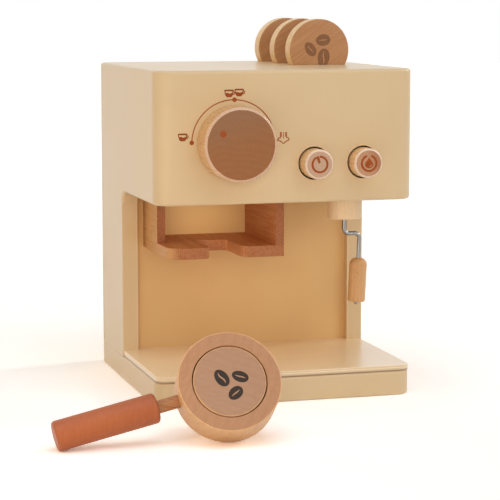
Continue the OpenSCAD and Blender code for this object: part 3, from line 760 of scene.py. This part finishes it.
# The hollow head and the hollow back
rooms = [
    ((-inner, shell["boardBack"], shell["roomFloor"]),
     (inner, shell["roomBack"], shell["roomTop"])),
    ((-inner, shell["cavityBack"], underFoot), (inner, shell["roomBack"], shell["headUnder"])),
]
for low, high in rooms:
    cutAway(body, box("room", low, high))
forward, upward = Vector((0, -1, 0)), Vector((0, 0, 1))
for x, z, radius in [shell["dialBore"], *shell["buttonBores"]]:
    cutAway(body, rod("bore", (x, shell["boardBack"] + shell["borePast"], z), forward,
                      shell["frontRod"], radius))
x, y, radius = shell["wandBore"]
cutAway(body, rod("bore", (x, y, shell["headUnder"] - shell["borePast"]), upward,
                  shell["wandRod"], radius, sides=32))
for x, y in shell["screwHoles"]:
    cutAway(body, rod("screwHole", (x, y, shell["roomFloor"] - shell["screwDeep"]), upward,
                      shell["screwRod"], shell["screwRadius"], sides=32))
slots = shell["slots"]
for y in slots["fronts"]:
    cutAway(body, rod("slot", (slots["x"], y + slots["wide"], slots["z"]), forward,
                      slots["wide"], slots["radius"], sides=128))


def holeSoftness(a, b):
    return shell["holeSoft"] if both(a, b, 1, front) or both(a, b, 2, shell["top"]) else 0


softenEdges(body, shell["holeSoft"], shell["holeSteps"], holeSoftness)
mesh = body.data

# A narrow frame inside each broad face keeps the face itself shaded flat
bpy.ops.object.mode_set(mode="EDIT")
bpy.ops.mesh.select_mode(type="FACE")
bpy.ops.mesh.select_all(action="DESELECT")
bpy.ops.object.mode_set(mode="OBJECT")
for face in mesh.polygons:
    face.select = face.area > shell["broadFace"] * mm * mm
bpy.ops.object.mode_set(mode="EDIT")
bpy.ops.mesh.inset(thickness=shell["faceFrame"] * mm, use_even_offset=True)
bpy.ops.object.mode_set(mode="OBJECT")
bpy.ops.object.shade_smooth_by_angle(angle=radians(smoothTurn))
evened = body.modifiers.new("evened", "WEIGHTED_NORMAL")
evened.keep_sharp = True
evened.weight = 100
bpy.ops.object.modifier_apply(modifier=evened.name)

# The bare walls of the button bores, darkened as painted shade, and the cup space inside the
# softened edges in a deeper cream that paints its shade and bounced light
coat(body, creamPaint)
mesh.materials.append(boreShadeWood)
mesh.materials.append(cupSpaceShadePaint)
for face in mesh.polygons:
    spot = face.center / mm
    if spot.z < shell["headUnder"] and abs(spot.x) < inner + slack and (
            shell["column"] + shell["columnLip"] < spot.y < shell["cavity"] + slack):
        face.material_index = cupSpaceShadeIndex
    if front + shell["boreLip"] < spot.y < shell["boardBack"] - slack:
        for x, z, radius in shell["buttonBores"]:
            if hypot(spot.x - x, spot.z - z) < radius + slack:
                face.material_index = boreShadeIndex
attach(body, "housing")
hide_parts("left_side_panel", "right_side_panel", "front_panel", "top_panel",
            "head_floor", "cavity_back_panel", "rear_panel")

print("finishes of the packed pieces")
finishes = {
    "base_block": creamPaint, "tray_plate": plywood,
    "bracket_left_wall": bracketWood, "bracket_right_wall": bracketWood,
    "bracket_shelf": shelfWood, "button_guide": hiddenWood, "wand_boss": paleWood,
    "base_screws": zinc, "bracket_screws": zinc,
    "dial_knob": knobWood, "dial_shaft": hiddenWood, "dial_collar": hiddenWood,
    "power_button": buttonWood, "power_spring": springSteel,
    "water_button": waterWood, "water_spring": springSteel,
    "wand_rod": chrome, "wand_grip": gripWood, "wand_collar": zinc,
    "coin_front": coinWood, "coin_middle": coinWood, "coin_rear": coinWood,
    "filter_basket": holderWood, "filter_spout": holderWood, "filter_neck": neckWood,
    "filter_handle": terracottaPaint, "filter_coin": holderCoinWood,
}
for name, finish in finishes.items():
    coat(nodes[name], finish)
for name in ("left_side_panel", "right_side_panel", "front_panel", "top_panel", "head_floor",
             "cavity_back_panel", "rear_panel"):
    coat(nodes[name], creamPaint)

# Copies of the two springs, fixed to the housing in place of the packed ones. The real springs
# shorten towards the guide board as a button goes in; these copies keep their length.
springs = {"guideFront": -67.7, "long": 17.26, "travel": 8,
           "pushedBy": {"power_spring": "power_press", "water_spring": "water_press"}}
for name, joint in springs["pushedBy"].items():
    coil = bpy.data.objects.new(name.split("_")[0] + "Coil", nodes[name].data.copy())
    scene.collection.objects.link(coil)
    coat(coil, springSteel)
    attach(coil, "housing")
    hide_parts(name)
    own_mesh(coil)

print("prints")


# Flat outlines, the first of each list filled and the rest holes in it, laid on a face
def printShapes(name, shapes, face, material):
    parts = []
    for outlines in shapes:
        flat = bpy.data.curves.new(name, "CURVE")
        flat.dimensions = "2D"
        flat.fill_mode = "BOTH"
        flat.extrude = face["thick"] / 2 * mm
        for outline in outlines:
            line = flat.splines.new("POLY")
            line.points.add(len(outline) - 1)
            for point, (u, v) in zip(line.points, outline):
                point.co = (u * mm, v * mm, 0, 1)
            line.use_cyclic_u = True
        part = bpy.data.objects.new(name, flat)
        scene.collection.objects.link(part)
        parts.append(part)
    bpy.ops.object.select_all(action="DESELECT")
    for part in parts:
        part.select_set(True)
    bpy.context.view_layer.objects.active = parts[0]
    bpy.ops.object.convert(target="MESH")
    if len(parts) > 1:
        bpy.ops.object.join()
    piece = bpy.context.view_layer.objects.active
    piece.name = name
    across, upward = Vector(face["across"]).normalized(), Vector(face["upward"]).normalized()
    outward = across.cross(upward)
    laid = Matrix((across, upward, outward)).transposed().to_4x4()
    laid.translation = metres(face["place"]) + outward * face["proud"] * mm
    piece.data.transform(laid)
    pick(piece)
    bpy.ops.object.mode_set(mode="EDIT")
    bpy.ops.mesh.select_all(action="SELECT")
    bpy.ops.mesh.remove_doubles(threshold=0.000001)
    bpy.ops.mesh.normals_make_consistent(inside=False)
    bpy.ops.object.mode_set(mode="OBJECT")
    coat(piece, material)
    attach(piece, face["body"])
    return piece


def turnedTo(points, angle, place):
    c, s = cos(radians(angle)), sin(radians(angle))
    return [(place[0] + c * u - s * v, place[1] + s * u + c * v) for u, v in points]


def disc(radius, place, steps=32):
    return [(place[0] + radius * cos(2 * pi * i / steps),
             place[1] + radius * sin(2 * pi * i / steps)) for i in range(steps)]


def arcLine(radius, start, end, steps=64):
    angles = [radians(start + (end - start) * i / steps) for i in range(steps + 1)]
    return [(radius * cos(a), radius * sin(a)) for a in angles]


def onCircle(radius, angle):
    return arcLine(radius, angle, angle, 1)[0]


# A smooth line through a few points
def flowing(points, steps=6, closed=False):
    count = len(points)
    made = []
    spans = count if closed else count - 1
    for i in range(spans):
        if closed:
            p = [points[(i + k) % count] for k in (-1, 0, 1, 2)]
        else:
            p = [points[max(0, min(count - 1, i + k))] for k in (-1, 0, 1, 2)]
        for j in range(steps):
            t = j / steps
            made.append(tuple(
                0.5 * (2 * p[1][k] + (p[2][k] - p[0][k]) * t
                       + (2 * p[0][k] - 5 * p[1][k] + 4 * p[2][k] - p[3][k]) * t * t
                       + (3 * p[1][k] - p[0][k] - 3 * p[2][k] + p[3][k]) * t ** 3)
                for k in (0, 1)))
    if not closed:
        made.append(points[-1])
    return made


# The outline of a pen line of even width with round ends
def penLine(points, width):
    sides = []
    for side in (1, -1):
        row = []
        for i, (u, v) in enumerate(points):
            a, b = points[max(0, i - 1)], points[min(len(points) - 1, i + 1)]
            run = hypot(b[0] - a[0], b[1] - a[1])
            row.append((u - side * (b[1] - a[1]) / run * width / 2,
                        v + side * (b[0] - a[0]) / run * width / 2))
        sides.append(row)
    caps = []
    for (u, v), (a, b) in ((points[-1], points[-2]), (points[0], points[1])):
        heading = atan2(v - b, u - a)
        turns = [heading + pi / 2 - pi * i / 6 for i in range(1, 6)]
        caps.append([(u + width / 2 * cos(t), v + width / 2 * sin(t)) for t in turns])
    return sides[0] + caps[0] + sides[1][::-1] + caps[1]


# A closed line's outline and the hole inside it
def penLoop(points, width):
    rows = ([], [])
    for i, (u, v) in enumerate(points):
        a, b = points[i - 1], points[(i + 1) % len(points)]
        run = hypot(b[0] - a[0], b[1] - a[1])
        for side, row in zip((1, -1), rows):
            row.append((u + side * (b[1] - a[1]) / run * width / 2,
                        v - side * (b[0] - a[0]) / run * width / 2))
    return list(rows)


frontFace = {"across": (1, 0, 0), "upward": (0, 0, 1), "thick": 0.10, "proud": 0.02,
             "body": "housing"}


# A red print on a face that looks forward, where "spot" gives its X and Z
def frontPrint(name, shapes, spot, level=front, **changes):
    printShapes(name, shapes, {**frontFace, "place": (spot[0], level, spot[1]), **changes},
                redInk)


dialPrint = {"centre": (-41.3, 195.4), "radius": 31.8, "line": 0.8, "dot": 1.7,
             "stops": (178.5, 89, 2)}
arc = arcLine(dialPrint["radius"], dialPrint["stops"][0], dialPrint["stops"][-1], 96)
frontPrint("dialArc", [[penLine(arc, dialPrint["line"])]], dialPrint["centre"])
dots = [[disc(dialPrint["dot"], onCircle(dialPrint["radius"], stop))]
        for stop in dialPrint["stops"]]
frontPrint("dialStops", dots, dialPrint["centre"], thick=0.12)

cupPrint = {"line": 0.7, "places": {"cupMark": (-79.95, 200.35), "leftCupMark": (-44.9, 231.8),
                                     "rightCupMark": (-37.2, 232.35)}}
cupLine = cupPrint["line"]
cupBody = flowing([(-3.0, 2.35), (0, 2.45), (3.0, 2.35), (3.05, 1.2), (2.6, -0.7),
                   (1.5, -2.3), (0, -2.45), (-1.5, -2.3), (-2.6, -0.7), (-3.05, 1.2)], 5, True)
coffee = flowing([(-2.75, -0.1), (-1.9, 0.45), (-0.8, 0.35), (0.2, -0.05), (1.2, 0.0),
                  (2.2, 0.5), (2.75, 0.1), (2.2, -1.2), (1.3, -2.1), (0, -2.2), (-1.3, -2.1),
                  (-2.2, -1.2)], 4, True)
handle = flowing([(2.95, 1.15), (3.9, 1.0), (4.2, 0.1), (3.5, -0.75), (2.65, -0.7)], 5)
rim = [(-2.9, 1.95), (2.9, 1.95)]
cup = [penLoop(cupBody, cupLine), [coffee], [penLine(handle, cupLine)],
       [penLine(rim, cupLine)]]
for name, place in cupPrint["places"].items():
    frontPrint(name, cup, place)

steamPrint = {"place": (-3.25, 198.5), "line": 0.75, "fine": 0.5}
cloud = flowing([(-2.35, 4.1), (-2.35, 0.6), (-3.1, 0.15), (-4.15, -0.5), (-4.0, -1.6),
                 (-2.7, -2.1), (-1.6, -2.9), (0, -4.0), (1.6, -2.9), (2.7, -2.1),
                 (4.0, -1.6), (4.15, -0.5), (3.1, 0.15), (2.35, 0.6), (2.35, 4.1)], 5)
jets = [[(-1.5, 4.1), (-1.5, 1.0)], [(0, 4.1), (0, -0.3)], [(1.5, 4.1), (1.5, 1.0)]]
steam = [[penLine(cloud, steamPrint["line"])]]
steam += [[penLine(jet, steamPrint["fine"])] for jet in jets]
frontPrint("steamMark", steam, steamPrint["place"])

knobMark = {"centre": (-41.6, 195.5), "face": -123.3, "radius": 15.8, "angle": 149,
            "dot": 2.45}
dot = disc(knobMark["dot"], onCircle(knobMark["radius"], knobMark["angle"]), 40)
frontPrint("knobMark", [[dot]], knobMark["centre"], knobMark["face"], body="dial")

# The rings are open between the two angles of "gap"
buttonFront = -114.5
powerPrint = {"place": (20.9, 179.3), "ring": 5.75, "line": 1.6, "gap": (86, 124),
              "stroke": (1.9, 5.6), "strokeLine": 2.0, "lean": 107}
waterPrint = {"place": (59.2, 179.3), "ring": 5.7, "line": 1.65, "gap": (68, 114)}
rings = [penLine(arcLine(look["ring"], look["gap"][1], look["gap"][0] + 360), look["line"])
         for look in (powerPrint, waterPrint)]
stroke = [onCircle(radius, powerPrint["lean"]) for radius in powerPrint["stroke"]]
frontPrint("powerMark", [[rings[0]], [penLine(stroke, powerPrint["strokeLine"])]],
           powerPrint["place"], buttonFront, body="power_button")
drop = flowing([(0, 4.2), (1.0, 2.8), (2.5, 1.0), (3.2, -0.7), (2.5, -2.7), (0, -3.75),
                (-2.5, -2.7), (-3.2, -0.7), (-2.5, 1.0), (-1.0, 2.8)], 6, True)
glint = penLine(flowing([(0.5, -2.5), (1.4, -2.0), (1.95, -1.0)], 4), 0.55)
frontPrint("waterMark", [[rings[1]], [drop, glint]], waterPrint["place"], buttonFront,
           body="water_button")


# A coffee bean seen flat: a plump oval with a slit that bends like a long S
def beanShape(bean):
    long, wide = bean["long"] / 2, bean["wide"] / 2
    oval = [(long * cos(t), wide * sin(t) * (1 + 0.05 * cos(t)))
            for t in [2 * pi * i / 48 for i in range(48)]]
    reach = long * bean["slit"]
    steps = 16
    edges = ([], [])
    for i in range(steps + 1):
        u = -reach + 2 * reach * i / steps
        bend = wide * bean["bend"] * sin(pi * u / reach)
        parted = bean["gap"] / 2 * (1 - (u / reach) ** 2) ** 0.7
        edges[0].append((u, bend + parted))
        edges[1].append((u, bend - parted))
    slit = edges[0] + edges[1][-2:0:-1]
    return [turnedTo(shape, bean["tilt"], bean["at"]) for shape in (oval, slit)]


slotBeans = [
    {"at": (-7.4, 0.75), "long": 12.3, "wide": 8.1, "tilt": -55, "slit": 0.66, "gap": 0.9,
     "bend": 0.08},
    {"at": (3.0, 7.8), "long": 11.9, "wide": 9.1, "tilt": 6, "slit": 0.60, "gap": 0.9,
     "bend": 0.0},
    {"at": (3.5, -6.0), "long": 14.4, "wide": 9.9, "tilt": 82, "slit": 0.76, "gap": 1.1,
     "bend": 0.14},
]
coinFace = {"across": (1, 0, 0), "upward": (0, 0, 1), "thick": 0.08, "proud": 0.015}
for coin, y in (("coin_front", -8.1), ("coin_middle", 35.2), ("coin_rear", 78.5)):
    name = coin.split("_")[1] + "CoinBeans"
    printShapes(name, [beanShape(bean) for bean in slotBeans],
                {**coinFace, "place": (slots["x"], y, slots["z"]), "body": coin}, scorched)

# The coin in the holder lies flush with the face of the basket
holderBasket = {"back": (-74.5, -199.0, 30.333), "deep": 25.0}
facing = Vector(holderFacing).normalized()
upright = (upward - facing * upward.dot(facing)).normalized()
holderBeans = [
    {"at": (-5.4, 2.4), "long": 13.2, "wide": 9.0, "tilt": -58, "slit": 0.70, "gap": 1.2,
     "bend": 0.12},
    {"at": (7.3, 3.1), "long": 11.8, "wide": 7.8, "tilt": -20, "slit": 0.66, "gap": 1.0,
     "bend": 0.04},
    {"at": (3.4, -8.6), "long": 11.4, "wide": 8.4, "tilt": 42, "slit": 0.66, "gap": 1.0,
     "bend": -0.04},
]
place = Vector(holderBasket["back"]) + facing * holderBasket["deep"]
printShapes("holderCoinBeans", [beanShape(bean) for bean in holderBeans],
            {**coinFace, "across": upright.cross(facing), "upward": upright, "place": place,
             "body": "filter_coin"}, blackInk)

print("sizes")
low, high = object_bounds()
